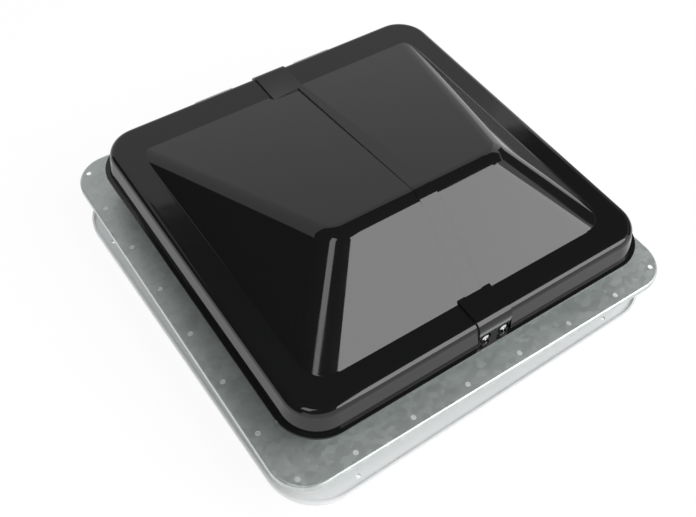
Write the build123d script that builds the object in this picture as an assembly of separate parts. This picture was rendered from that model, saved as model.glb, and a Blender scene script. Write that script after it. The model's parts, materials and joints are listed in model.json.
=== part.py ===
from build123d import *
import os
from math import atan, atan2, cos, degrees, hypot, pi, radians, sin, tan

# Crank-operated roof vent for a caravan, for a 14 inch square roof opening.
# A pressed steel flange with a raised collar carries a hinged, hip-roofed plastic lid.
# A hand crank below turns a worm, the worm swings a toothed lift arm, and a shoe on the
# arm's end slides in a slotted guide under the lid. A loose plastic trim ring with the
# insect screen nests in the throat from below.
#
# Millimetres. The origin is the middle of the throat on the flange's underside.
# +Z is up, -Y is the lid's opening edge with the two screws, +Y is the hinge side.
# Heights are measured from the flange's underside.

# Steel base: flange, collar and throat are one pressing
sheet = 0.8
throat_half = 177.8
throat_bottom_z = -35.2
collar_out = 3.2
collar_corner_r = 27.0
collar_top_z = 44.8
collar_foot_r = 2.5
flange_wide = 38.0
flange_corner_r = 36.0
flange_edge_drop = 5.2
flange_edge_bend_r = 2.5
hole_r = 2.5
hole_in = 9.5
first_hole_in = 59.5
holes_per_side = 6
corner_hole_in = 15.6

# Plastic lid: skirt, outward lip, flat rim and hip-roofed dome
lid_wall = 2.5
lid_out = 9.5
lid_centre_y = -3.0
lid_corner_r = 34.0
lid_rim_z = 55.8
lid_rim_round_r = 8.0
lip_out = 7.5
lip_corner_r = 42.0
lip_top_z = 31.3
lip_thick = 2.5
dome_side_in = 28.0
dome_front_in = 29.5
dome_back_in = 38.0
dome_blend_r = 24.0
front_hip_r = 40.0
dome_foot_r = 3.0
ridge_side_in = 69.5
ridge_back = 81.0
ridge_z = 117.8

# Raised band across the lid, and the narrower rib over the dome
strap_x = 4.5
band_half = 18.0
band_rise = 2.0
rib_rise = 0.6
rib_front_half = 9.5
rib_back_left = 12.0
rib_back_right = 18.0
screw_recess_r = 6.0
screw_recess_depth = 1.2

# Steel strap inside the band
strap_half = 12.0
strap_thick = 1.5
strap_leg_bottom_z = 32.0
front_screw_half_pitch = 10.0
front_screw_z = 36.3
front_screw_r = 2.0
front_screw_head_r = 3.9
front_screw_head_high = 2.4
front_screw_tail = 3.0
rivet_r = 1.6
rivet_head_r = 3.2
rivet_head_high = 1.0
rear_rivet_half_pitch = 7.0
rear_rivet_z = 44.0

# Gasket between collar and lid
gasket_inset = 1.0
gasket_wide = 7.0
free_gap = 0.3

# Hinges at the back
hinge_half = 22.0
hinge_z = 22.8
knuckle_r = 4.0
leaf_thick = 1.2
hinge_pin_r = 1.5
hinge_pin_head_r = 2.6
hinge_pin_head_high = 1.2
lid_knuckle_half = 10.7
lid_leaf_low_z = 28.0
lid_leaf_high_z = 51.0
lid_leaf_rivet_half_pitch = 14.0
lid_leaf_rivet_z = 42.0
foot_leaf_long = 20.5
foot_rivet_half_pitch = 12.0
foot_rivet_back = 12.0
lip_notch_half = 24.0

# Slotted lift guide under the strap. The slot's line passes through the hinge axis.
guide_thick = 1.5
guide_flange_wide = 11.0
slot_tip_in = 63.5
slot_tip_z = 45.5
slot_half = 4.0
slot_end_spare = 2.0
guide_margin = 5.0
guide_end_margin = 9.0
guide_rivet_in = 61.0
guide_rivet_x_in = 7.0

# Lift arm. Pivot to shoe is as long as pivot to hinge, so the arm turns exactly
# twice as far as the lid and the drive keeps one ratio all the way. The arm is bent
# so that it clears the worm's upper bearing when the lid is wide open.
pivot_below_slot = 30.8
arm_thick = 3.0
arm_half = 5.5
arm_bend_reach = 55.0
arm_bend_off = 8.0
arm_eye_r = 6.0
arm_hub_r = 10.0
arm_pin_r = 3.0
arm_pin_head_r = 4.6
arm_pin_head_high = 1.5
tip_pin_r = 2.5
tip_pin_head_r = 4.0
tip_pin_head_high = 1.2
shoe_half_long = 12.0
shoe_cheek_thick = 2.3
shoe_cheek_over = 1.7
lid_travel = 60.0

# Worm gear
gear_module = 1.5
gear_teeth = 30
pressure_angle = 20.0
sector_thick = 6.0
sector_lead_in = 15.0
tooth_clearance = 0.35
thread_clearance = 0.05
root_clearance = 0.4
worm_pitch_r = 6.0
worm_turns = 3.5
tooth_sink = 1.0

# Operator casting on the crossbar
ear_thick = 2.0
ear_to_guide = 0.6
ear_half = 8.0
ear_foot_half = 14.0
base_thick = 2.0
base_half = 20.0
base_front = 13.6
base_back = 12.4
boss_r = 7.5
lower_boss_z = -9.5
tower_wall_thick = 3.0
tower_half = 9.0
upper_boss_low_z = 15.8
upper_boss_high_z = 19.3
bushing_r = 5.0
bushing_flange_r = 6.2
bushing_flange_thick = 1.0
shaft_r = 3.5
shaft_top_z = 21.8
shaft_bottom_z = -46.0
clip_ring_r = 5.6
clip_ring_thick = 0.8
clip_ring_z = 20.6
run_fit = 0.05
mount_screw_r = 2.0
mount_screw_head_r = 3.8
mount_screw_head_high = 1.8
mount_screw_x_in = 5.0
mount_screw_y_in = 5.0

# Crossbar over the throat
bar_z = -25.0
bar_thick = 1.5
bar_front = 15.6
bar_back = 15.9
bar_edge_high = 5.0
bar_tab_high = 20.0
bar_screw_half_pitch = 18.0
bar_screw_z = -12.0
bar_screw_tail = 1.0

# Crank handle and knob
crank_reach = 38.0
handle_hub_r = 8.5
handle_top_z = -34.8
handle_thick = 4.2
handle_hub_low_z = -46.5
handle_root_half = 7.0
handle_end_half = 5.5
handle_end_r = 6.5
handle_angle = -150.0
set_screw_r = 1.6
set_screw_z = -42.0
knob_r = 8.0
knob_neck_r = 5.5
knob_bottom_z = -48.2
knob_edge = 1.5
knob_bore_depth = 2.2
knob_pin_r = 2.0
knob_pin_head_r = 3.4
knob_pin_head_high = 1.3

# Trim ring, nested in the throat, and the insect screen that it holds
ring_turn = 1.1
ring_out = 40.2
ring_corner_r = 51.0
ring_bottom_z = -49.2
ring_thick = 2.5
ring_rim_high = 6.0
ring_rim_wall = 2.0
ring_edge_r = 1.5
neck_play = 3.2
neck_corner_r = 20.0
neck_wall = 1.8
ring_hole_r = 2.2
ring_hole_in = 10.0
ring_hole_corner_in = 68.0
screen_frame_wide = 12.0
screen_frame_thick = 4.0
screen_top_z = -29.6
mesh_thick = 0.5
mesh_grip = 4.0
mesh_gaps = 14
mesh_bar = 1.6
screen_fit = 0.3
grommet_r = 10.0
grommet_groove_r = 8.0
grommet_bore_r = 4.5
grommet_thick = 2.6
clip_half = 7.0
clip_thick = 1.2
clip_foot_long = 9.0
clip_leg_long = 9.0
clip_in = 54.6

# One overrun serves all cuts, and a hair parts heights that are level with each other
over = 1.0
hair = 0.01

# Sizes that follow from those above
collar_half = throat_half + collar_out
flange_half = collar_half + flange_wide
hole_line = flange_half - hole_in
corner_hole_line = flange_half - corner_hole_in
hole_pitch = 2 * (hole_line - first_hole_in) / (holes_per_side - 1)
lid_half = collar_half + lid_out
lid_front_y = lid_centre_y - lid_half
lid_back_y = lid_centre_y + lid_half
lip_half = lid_half + lip_out
lip_low_z = lip_top_z - lip_thick
dome_half = lid_half - dome_side_in
dome_front_y = lid_front_y + dome_front_in
dome_back_y = lid_back_y - dome_back_in
ridge_half = dome_half - ridge_side_in
ridge_y = dome_front_y + ridge_back
rim_under_z = lid_rim_z - lid_wall
strap_top_z = rim_under_z + band_rise
strap_under_z = strap_top_z - strap_thick
strap_front_y = lid_front_y - band_rise + lid_wall
strap_back_y = lid_back_y + band_rise - lid_wall
hinge_x = hole_pitch
hinge_y = lid_back_y + knuckle_r
foot_leaf_back_y = hinge_y + foot_leaf_long
foot_rivet_y = hinge_y + foot_rivet_back

slot_tip_y = lid_front_y + slot_tip_in
slot_lean = atan2(slot_tip_z - hinge_z, hinge_y - slot_tip_y)
slot_reach = hypot(slot_tip_z - hinge_z, hinge_y - slot_tip_y)
pivot_reach = hypot(slot_reach / 2, pivot_below_slot)
pivot_dip = atan2(pivot_below_slot, slot_reach / 2)
pivot_y = hinge_y - pivot_reach * cos(slot_lean - pivot_dip)
pivot_z = hinge_z + pivot_reach * sin(slot_lean - pivot_dip)
arm_angle = degrees(atan2(slot_tip_z - pivot_z, slot_tip_y - pivot_y))
arm_reach = hypot(slot_tip_z - pivot_z, slot_tip_y - pivot_y)
slot_near = 2 * pivot_reach * cos(pivot_dip + radians(lid_travel)) - shoe_half_long - slot_end_spare
slot_far = slot_reach + shoe_half_long + slot_end_spare

guide_left_x = strap_x - guide_thick / 2
guide_right_x = strap_x + guide_thick / 2
ear_left_x = guide_right_x + ear_to_guide
arm_left_x = ear_left_x + ear_thick + free_gap
gear_right_x = arm_left_x + sector_thick
gear_x = arm_left_x + sector_thick / 2
ear_right_x = gear_right_x + free_gap

gear_r = gear_module * gear_teeth / 2
gear_tip_r = gear_r + gear_module
gear_root_r = gear_r - gear_module - root_clearance
tooth_pitch = pi * gear_module
worm_y = pivot_y + gear_r + worm_pitch_r
worm_root_r = worm_pitch_r - gear_module - root_clearance
worm_half_long = worm_turns * tooth_pitch / 2
bar_top_z = bar_z + bar_thick
bar_front_y = pivot_y - bar_front
bar_back_y = worm_y + bar_back
bar_middle_y = (bar_front_y + bar_back_y) / 2
base_top_z = bar_top_z + base_thick
base_front_y = pivot_y - base_front
base_back_y = worm_y + base_back
ring_half = throat_half + ring_out
ring_hole_line = ring_half - ring_hole_in
ring_hole_half_pitch = ring_half - ring_hole_corner_in
neck_half = throat_half - neck_play
clip_place = neck_half - clip_in
neck_inner_half = neck_half - neck_wall
screen_half = neck_inner_half - screen_fit
screen_low_z = screen_top_z - screen_frame_thick
mesh_middle_z = screen_top_z - screen_frame_thick / 2
clip_rivet_z = screen_low_z - clip_thick - clip_leg_long / 2


def slab(half, corner_r, z_low, z_high, centre_y=0):
    """Square slab with rounded corners."""
    outline = RectangleRounded(2 * half, 2 * half, corner_r)
    return Pos(0, centre_y, z_low) * extrude(outline, z_high - z_low)


def block(x, y, z):
    """Box between pairs of low and high places."""
    spans = (x, y, z)
    middle = [(low + high) / 2 for low, high in spans]
    return Pos(*middle) * Box(*[high - low for low, high in spans])


def rod(start, end, radius):
    """Round bar from one point to another."""
    line = Vector(*end) - Vector(*start)
    return extrude(Plane(origin=start, z_dir=line) * Circle(radius), line.length)


def side_plate(sketch, x_low, x_high):
    """Sketch of (y, z) drawn out along X."""
    return extrude(Plane.YZ.offset(x_low) * sketch, x_high - x_low)


def outline(*points):
    """Straight-sided face through the points."""
    return make_face(Polyline(*points, close=True))


def joined(pieces):
    """All pieces fused or, where they don't touch, kept side by side."""
    whole = pieces[0]
    for piece in pieces[1:]:
        whole += piece
    return whole


def flush_rivet(place, direction, grip):
    """Flat-headed rivet that ends level with the far side of its grip."""
    start = Vector(*place)
    along = Vector(*direction)
    head = rod(start - along * rivet_head_high, start, rivet_head_r)
    return head + rod(start - along * rivet_head_high, start + along * grip, rivet_r)


def rivet(place, direction, grip):
    """Rivet with a formed tail beyond its grip."""
    far = Vector(*place) + Vector(*direction) * grip
    tail = rod(far, far + Vector(*direction) * rivet_head_high, rivet_head_r)
    return flush_rivet(place, direction, grip) + tail


def screw(place, direction, length, shank_r, head_r, head_high):
    """Screw with a chamfered pan head, its head's seat at the place."""
    start = Vector(*place)
    along = Vector(*direction)
    head = rod(start - along * head_high, start, head_r)
    rim = head.edges().sort_by(lambda edge: (edge.center() - start).dot(along))[0]
    head = chamfer(rim, head_high / 2)
    return head + rod(start - along * (head_high / 2), start + along * length, shank_r)


def flange_holes():
    """Places of the screw holes round the flange."""
    span = holes_per_side - 1
    steps = [(index - span / 2) * hole_pitch for index in range(holes_per_side)]
    places = [(step, side * hole_line) for step in steps for side in (-1, 1)]
    places += [(side * hole_line, step) for step in steps for side in (-1, 1)]
    corners = [(a * corner_hole_line, b * corner_hole_line) for a in (-1, 1) for b in (-1, 1)]
    return places + corners


def roof_base():
    """Flange with its edge turned down, collar turned over at the top, and throat."""
    throat_r = collar_corner_r - (collar_half - throat_half)
    tray = slab(flange_half, flange_corner_r, -flange_edge_drop, sheet)
    tray = fillet(tray.edges().group_by(Axis.Z)[-1], flange_edge_bend_r)
    under = slab(flange_half - sheet, flange_corner_r - sheet, -flange_edge_drop - over, 0)
    under = fillet(under.edges().group_by(Axis.Z)[-1], flange_edge_bend_r - sheet)
    collar = slab(collar_half, collar_corner_r, 0, collar_top_z)
    body = tray - under + collar
    foot = [
        edge for edge in body.edges()
        if abs(edge.center().Z - sheet) < hair
        and max(abs(edge.center().X), abs(edge.center().Y)) < collar_half + hair
    ]
    body = fillet(foot, collar_foot_r)
    body = fillet(body.edges().group_by(Axis.Z)[-1], sheet)
    inner_half = collar_half - sheet
    inner_r = collar_corner_r - sheet
    body -= slab(inner_half, inner_r, -flange_edge_drop, collar_top_z - sheet)
    throat = slab(throat_half + sheet, throat_r + sheet, throat_bottom_z, collar_top_z - sheet)
    body += throat
    body -= slab(throat_half, throat_r, throat_bottom_z - over, collar_top_z + over)
    for x, y in flange_holes():
        body -= Pos(x, y, 0) * Cylinder(hole_r, 2 * (sheet + over))
    for side in (-1, 1):
        for y in bar_screw_places():
            body -= rod((side * (throat_half - over), y, bar_screw_z),
                        (side * (throat_half + sheet + over), y, bar_screw_z), mount_screw_r + run_fit)
        for x in foot_rivet_places(side):
            body -= Pos(x, foot_rivet_y, 0) * Cylinder(rivet_r + run_fit, 2 * (sheet + over))
    return body


def gasket():
    """Foam strip on the collar's turned edge, in four lengths that meet at the corners."""
    outer_half = collar_half - gasket_inset
    outer_r = collar_corner_r - gasket_inset
    inner_half = outer_half - gasket_wide
    strip = slab(outer_half, outer_r, collar_top_z, rim_under_z - free_gap)
    strip -= slab(inner_half, outer_r - gasket_wide, collar_top_z - over, rim_under_z + over)
    ends = (-2 * outer_half, 2 * outer_half)
    for turn in (-45, 45):
        strip -= Rot(0, 0, turn) * block(ends, (-hair, hair), (collar_top_z - over, rim_under_z + over))
    return strip


def dome(grow):
    """Hip-roofed dome, moved up by the growth, with its two front hips rounded more widely."""
    low = lid_rim_z + grow
    high = ridge_z + grow
    lengthwise = outline((dome_front_y, low), (dome_back_y, low), (ridge_y, high))
    crosswise = outline((-dome_half, low), (dome_half, low), (ridge_half, high), (-ridge_half, high))
    form = side_plate(lengthwise, -dome_half, dome_half)
    form = form & extrude(Plane.XZ.offset(-dome_back_y) * crosswise, dome_back_y - dome_front_y)
    creases = form.edges().filter_by(lambda edge: edge.center().Z > low + hair)
    form = fillet(creases.filter_by(lambda edge: edge.center().Y < ridge_y - hair), front_hip_r)
    creases = form.edges().filter_by(GeomType.LINE).filter_by(lambda edge: edge.center().Z > low + hair)
    return fillet(creases.filter_by(lambda edge: edge.center().Y > ridge_y - hair), dome_blend_r)


def skirt_form(grow, z_low):
    """Skirt and flat rim as one block, grown by an amount or, below zero, shrunk."""
    skirt = slab(lid_half + grow, lid_corner_r + grow, z_low, lid_rim_z + grow, lid_centre_y)
    return fillet(skirt.edges().group_by(Axis.Z)[-1], lid_rim_round_r + grow)


def lid_form(grow, z_low):
    """Skirt, rim and dome as one block, grown or shrunk."""
    return skirt_form(grow, z_low) + dome(grow)


def outer_form():
    """Outside of the lid without its lip, with a blend round the dome's foot."""
    form = lid_form(0, lip_low_z)
    foot = [
        edge for edge in form.edges()
        if abs(edge.center().Z - lid_rim_z) < hair and abs(edge.center().X) < dome_half + hair
        and dome_front_y - hair < edge.center().Y < dome_back_y + hair
    ]
    return fillet(foot, dome_foot_r)


def band_room(half):
    """Space from front to back, as wide as the raised band."""
    return block((strap_x - half, strap_x + half), (lid_front_y - lip_half, lid_back_y + lip_half),
                 (lip_top_z, ridge_z))


def rib_room():
    """Space over the dome, as wide as the rib: even in front, narrowing to the hinge side."""
    plan = outline(
        (strap_x - rib_front_half, dome_front_y),
        (strap_x + rib_front_half, dome_front_y),
        (strap_x + rib_front_half, ridge_y),
        (strap_x + rib_back_right, dome_back_y),
        (strap_x + rib_back_left, dome_back_y),
        (strap_x - rib_front_half, ridge_y),
    )
    return Pos(0, 0, lid_rim_z) * extrude(plan, ridge_z)


def front_screw_xs():
    """Places along X of the two screws in the lid's front."""
    return [strap_x + side * front_screw_half_pitch for side in (-1, 1)]


def rear_rivet_xs():
    """Places along X of the two rivets in the lid's back."""
    return [strap_x + side * rear_rivet_half_pitch for side in (-1, 1)]


def lid_leaf_rivet_places(side):
    """Places along X of one lid leaf's rivets."""
    return [side * hinge_x + end * lid_leaf_rivet_half_pitch for end in (-1, 1)]


def foot_rivet_places(side):
    """Places along X of one foot leaf's rivets."""
    return [side * hinge_x + end * foot_rivet_half_pitch for end in (-1, 1)]


def lid_shell():
    """Thermoformed lid: hollow form, raised band and rib, lip, recesses and notches."""
    shell = outer_form()
    shell += slab(lip_half, lip_corner_r, lip_low_z, lip_top_z, lid_centre_y)
    shell += skirt_form(band_rise, lip_low_z) & band_room(band_half)
    shell += lid_form(rib_rise, lip_low_z) & rib_room()
    shell -= lid_form(-lid_wall, lip_low_z - over)
    shell -= skirt_form(band_rise - lid_wall, lip_low_z) & band_room(band_half - lid_wall)
    band_front_y = lid_front_y - band_rise
    for x in front_screw_xs():
        shell -= rod((x, band_front_y - over, front_screw_z),
                     (x, band_front_y + screw_recess_depth, front_screw_z), screw_recess_r)
        shell -= rod((x, band_front_y - over, front_screw_z),
                     (x, strap_front_y + over, front_screw_z), front_screw_r + run_fit)
    for x in rear_rivet_xs():
        shell -= rod((x, strap_back_y - over, rear_rivet_z),
                     (x, lid_back_y + band_rise + over, rear_rivet_z), rivet_r + run_fit)
    for side in (-1, 1):
        notch = (side * hinge_x - lip_notch_half, side * hinge_x + lip_notch_half)
        shell -= block(notch, (lid_back_y, lid_back_y + lip_half), (lip_low_z - over, lip_top_z + over))
        for x in lid_leaf_rivet_places(side):
            shell -= rod((x, lid_back_y - lid_wall - over, lid_leaf_rivet_z),
                         (x, lid_back_y + over, lid_leaf_rivet_z), rivet_r + run_fit)
    return shell


def lid_strap():
    """Steel strap under the band, both ends bent down inside the skirt."""
    x = (strap_x - strap_half, strap_x + strap_half)
    strap = skirt_form(band_rise - lid_wall, strap_leg_bottom_z)
    strap &= block(x, (strap_front_y - over, strap_back_y + over), (strap_leg_bottom_z, strap_top_z))
    strap -= skirt_form(band_rise - lid_wall - strap_thick, strap_leg_bottom_z - over)
    for at_x in front_screw_xs():
        strap -= rod((at_x, strap_front_y - over, front_screw_z),
                     (at_x, strap_front_y + strap_thick + over, front_screw_z), front_screw_r + run_fit)
    for at_x in rear_rivet_xs():
        strap -= rod((at_x, strap_back_y - strap_thick - over, rear_rivet_z),
                     (at_x, strap_back_y + over, rear_rivet_z), rivet_r + run_fit)
    for at_x, at_y in guide_rivet_places():
        strap -= rod((at_x, at_y, strap_under_z - over), (at_x, at_y, strap_top_z + over), rivet_r + run_fit)
    return strap


def front_screws():
    """Two bright screws that hold the strap's front leg."""
    seat_y = lid_front_y - band_rise + screw_recess_depth
    length = strap_front_y + strap_thick + front_screw_tail - seat_y
    return joined([
        screw((x, seat_y, front_screw_z), (0, 1, 0), length,
              front_screw_r, front_screw_head_r, front_screw_head_high)
        for x in front_screw_xs()
    ])


def rear_rivets():
    """Two rivets that hold the strap's rear leg."""
    outside_y = lid_back_y + band_rise
    grip = lid_wall + strap_thick
    return joined([rivet((x, outside_y, rear_rivet_z), (0, -1, 0), grip) for x in rear_rivet_xs()])


def lid_hinge_leaves():
    """Leaves on the lid's back, each with the middle knuckle."""
    leaves = []
    for side in (-1, 1):
        centre = side * hinge_x
        knuckle_x = (centre - lid_knuckle_half, centre + lid_knuckle_half)
        plate_y = (lid_back_y, lid_back_y + leaf_thick)
        leaf = block((centre - hinge_half, centre + hinge_half), plate_y, (lid_leaf_low_z, lid_leaf_high_z))
        leaf += block(knuckle_x, plate_y, (hinge_z, lid_leaf_low_z))
        leaf += rod((knuckle_x[0], hinge_y, hinge_z), (knuckle_x[1], hinge_y, hinge_z), knuckle_r)
        leaf -= rod((knuckle_x[0] - over, hinge_y, hinge_z),
                    (knuckle_x[1] + over, hinge_y, hinge_z), hinge_pin_r + run_fit)
        for x in lid_leaf_rivet_places(side):
            leaf -= rod((x, lid_back_y - over, lid_leaf_rivet_z),
                        (x, lid_back_y + leaf_thick + over, lid_leaf_rivet_z), rivet_r + run_fit)
        leaves.append(leaf)
    return joined(leaves)


def lid_leaf_rivets():
    """Rivets through the lid leaves and the skirt."""
    grip = leaf_thick + lid_wall
    seat_y = lid_back_y + leaf_thick
    return joined([
        rivet((x, seat_y, lid_leaf_rivet_z), (0, -1, 0), grip)
        for side in (-1, 1) for x in lid_leaf_rivet_places(side)
    ])


def foot_hinge_leaves():
    """Leaves on the flange, each with the two outer knuckles."""
    web_y = (hinge_y + knuckle_r - leaf_thick, hinge_y + knuckle_r)
    leaves = []
    for side in (-1, 1):
        centre = side * hinge_x
        ends = (centre - hinge_half, centre + hinge_half)
        gap = (centre - lid_knuckle_half - free_gap, centre + lid_knuckle_half + free_gap)
        leaf = block(ends, web_y, (sheet, hinge_z))
        leaf += block(ends, (web_y[0], foot_leaf_back_y), (sheet, sheet + leaf_thick))
        leaf += rod((ends[0], hinge_y, hinge_z), (ends[1], hinge_y, hinge_z), knuckle_r)
        leaf -= block(gap, (hinge_y - knuckle_r - over, hinge_y + knuckle_r + over),
                      (hinge_z - knuckle_r - over, hinge_z + knuckle_r + over))
        leaf -= rod((ends[0] - over, hinge_y, hinge_z),
                    (ends[1] + over, hinge_y, hinge_z), hinge_pin_r + run_fit)
        for x in foot_rivet_places(side):
            leaf -= rod((x, foot_rivet_y, sheet - over),
                        (x, foot_rivet_y, sheet + leaf_thick + over), rivet_r + run_fit)
        leaves.append(leaf)
    return joined(leaves)


def foot_leaf_rivets():
    """Rivets through the foot leaves and the flange, level with its underside."""
    return joined([
        flush_rivet((x, foot_rivet_y, sheet + leaf_thick), (0, 0, -1), sheet + leaf_thick)
        for side in (-1, 1) for x in foot_rivet_places(side)
    ])


def hinge_pins():
    """Headed pins through the knuckles."""
    pins = []
    for side in (-1, 1):
        inner = (side * (hinge_x - hinge_half), hinge_y, hinge_z)
        outer = (side * (hinge_x + hinge_half), hinge_y, hinge_z)
        head = (side * (hinge_x + hinge_half + hinge_pin_head_high), hinge_y, hinge_z)
        pins.append(rod(inner, head, hinge_pin_r) + rod(outer, head, hinge_pin_head_r))
    return joined(pins)


def slot_point(reach, offset=0):
    """Point (y, z) on the slot's line, so far from the hinge axis and so far above the line."""
    y = hinge_y - reach * cos(slot_lean) + offset * sin(slot_lean)
    z = hinge_z + reach * sin(slot_lean) + offset * cos(slot_lean)
    return (y, z)


def guide_rivet_places():
    """Places (x, y) of the rivets between guide and strap."""
    reaches = (slot_near + guide_rivet_in, (slot_near + slot_far) / 2, slot_far - guide_rivet_in)
    return [(strap_x - guide_rivet_x_in, slot_point(reach)[0]) for reach in reaches]


def lift_guide():
    """Angle under the strap with the long slot for the shoe in its web."""
    near_y, near_z = slot_point(slot_near - guide_end_margin, -slot_half - guide_margin)
    far_y, far_z = slot_point(slot_far + guide_end_margin, -slot_half - guide_margin)
    web = outline((far_y, strap_under_z), (far_y, far_z), (near_y, near_z), (near_y, strap_under_z))
    slot_long = slot_far - slot_near
    middle_y, middle_z = slot_point((slot_near + slot_far) / 2)
    slot = SlotOverall(slot_long, 2 * slot_half)
    slot = Pos(middle_y, middle_z) * Rot(0, 0, -degrees(slot_lean)) * slot
    guide = side_plate(web - slot, guide_left_x, guide_right_x)
    guide += block((guide_right_x - guide_flange_wide, guide_right_x), (far_y, near_y),
                   (strap_under_z - guide_thick, strap_under_z))
    for x, y in guide_rivet_places():
        guide -= rod((x, y, strap_under_z - guide_thick - over),
                     (x, y, strap_under_z + over), rivet_r + run_fit)
    return guide


def guide_rivets():
    """Rivets between guide and strap."""
    return joined([
        rivet((x, y, strap_top_z), (0, 0, -1), strap_thick + guide_thick) for x, y in guide_rivet_places()
    ])


def slide_shoe():
    """Nylon shoe that runs in the slot, with a cheek on each side of the web."""
    turn = Pos(slot_tip_y, slot_tip_z) * Rot(0, 0, -degrees(slot_lean))
    neck_half_high = slot_half - free_gap
    cheek_half_high = slot_half + shoe_cheek_over
    neck = turn * RectangleRounded(2 * shoe_half_long, 2 * neck_half_high, neck_half_high - hair)
    cheek = turn * RectangleRounded(2 * shoe_half_long, 2 * cheek_half_high, cheek_half_high / 2)
    left = guide_left_x - free_gap
    right = guide_right_x + free_gap
    shoe = side_plate(neck, left, right)
    shoe += side_plate(cheek, left - shoe_cheek_thick, left)
    shoe += side_plate(cheek, right, right + shoe_cheek_thick)
    bore = Pos(slot_tip_y, slot_tip_z) * Circle(tip_pin_r + run_fit)
    return shoe - side_plate(bore, left - shoe_cheek_thick - over, right + shoe_cheek_thick + over)


def polar(radius, angle):
    """Point (y, z) at a distance and an angle in degrees from the arm's pivot."""
    return (pivot_y + radius * cos(radians(angle)), pivot_z + radius * sin(radians(angle)))


def sector_tooth(angle):
    """One straight-flanked tooth, leaning with the worm's thread across the gear's width."""
    slope = tan(radians(pressure_angle))
    pitch_half = tooth_pitch / 4 - tooth_clearance
    root_r = gear_root_r - tooth_sink
    ends = []
    for side, x in ((-1, arm_left_x), (1, gear_right_x)):
        rise = tooth_pitch / (2 * pi) * atan(side * (sector_thick / 2) / worm_pitch_r)
        lean = degrees(rise / gear_r)
        corners = []
        for radius, flank in ((root_r, 1), (gear_tip_r, 1), (gear_tip_r, -1), (root_r, -1)):
            half = pitch_half + (gear_r - radius) * slope
            corners.append(polar(hypot(radius, half), angle + lean + flank * degrees(atan2(half, radius))))
        ends.append(Plane.YZ.offset(x) * outline(*corners))
    return loft(ends, ruled=True)


def link(start, end, half):
    """Round-ended strip between two points (y, z)."""
    (y1, z1), (y2, z2) = start, end
    turn = Rot(0, 0, degrees(atan2(z2 - z1, y2 - y1)))
    strip = SlotCenterToCenter(hypot(y2 - y1, z2 - z1), 2 * half)
    return Pos((y1 + y2) / 2, (z1 + z2) / 2) * turn * strip


def lift_arm():
    """Bent arm with an eye at its tip and a toothed sector round its pivot."""
    eye_y, eye_z = polar(arm_reach, arm_angle)
    bend_turn = degrees(atan2(arm_bend_off, arm_bend_reach))
    bend = polar(hypot(arm_bend_reach, arm_bend_off), arm_angle + bend_turn)
    bar = link((pivot_y, pivot_z), bend, arm_half) + link(bend, (eye_y, eye_z), arm_half)
    bar += Pos(eye_y, eye_z) * Circle(arm_eye_r)
    arm = side_plate(bar, arm_left_x, arm_left_x + arm_thick)
    first = -sector_lead_in
    last = 2 * lid_travel + sector_lead_in
    half_step = 180 / gear_teeth
    wedge_r = 2 * gear_tip_r
    wedge_angles = [first - half_step + (last - first + 2 * half_step) * part / 4 for part in range(5)]
    wedge = outline((pivot_y, pivot_z), *[polar(wedge_r, angle) for angle in wedge_angles])
    disc = Pos(pivot_y, pivot_z) * Circle(gear_root_r)
    arm += side_plate(disc & wedge, arm_left_x, gear_right_x)
    arm += side_plate(Pos(pivot_y, pivot_z) * Circle(arm_hub_r), arm_left_x, gear_right_x)
    for index in range(gear_teeth):
        tooth_angle = (2 * index + 1) * half_step
        if tooth_angle > last + half_step:
            tooth_angle -= 360
        if tooth_angle > first - half_step:
            arm += sector_tooth(tooth_angle)
    pin_bore = Pos(pivot_y, pivot_z) * Circle(arm_pin_r + run_fit)
    arm -= side_plate(pin_bore, arm_left_x - over, gear_right_x + over)
    eye = Pos(eye_y, eye_z) * Circle(tip_pin_r + run_fit)
    return arm - side_plate(eye, arm_left_x - over, arm_left_x + arm_thick + over)


def tip_pin():
    """Pin through the arm's eye and the shoe, headed at both ends."""
    left = guide_left_x - free_gap - shoe_cheek_thick - free_gap
    right = arm_left_x + arm_thick
    pin = rod((left - tip_pin_head_high, slot_tip_y, slot_tip_z),
              (right + tip_pin_head_high, slot_tip_y, slot_tip_z), tip_pin_r)
    pin += rod((left - tip_pin_head_high, slot_tip_y, slot_tip_z),
               (left, slot_tip_y, slot_tip_z), tip_pin_head_r)
    return pin + rod((right, slot_tip_y, slot_tip_z),
                     (right + tip_pin_head_high, slot_tip_y, slot_tip_z), tip_pin_head_r)


def pivot_pin():
    """Pin that the arm turns on, through both ears."""
    right = ear_right_x + ear_thick
    end = right + arm_pin_head_high
    pin = rod((ear_left_x, pivot_y, pivot_z), (end, pivot_y, pivot_z), arm_pin_r)
    return pin + rod((right, pivot_y, pivot_z), (end, pivot_y, pivot_z), arm_pin_head_r)


def base_screw_places():
    """Places (x, y) of the screws in the operator's foot."""
    xs = (gear_x - base_half + mount_screw_x_in, gear_x + base_half - mount_screw_x_in)
    ys = (base_front_y + mount_screw_y_in, base_back_y - mount_screw_y_in)
    return [(x, y) for x in xs for y in ys]


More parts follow.
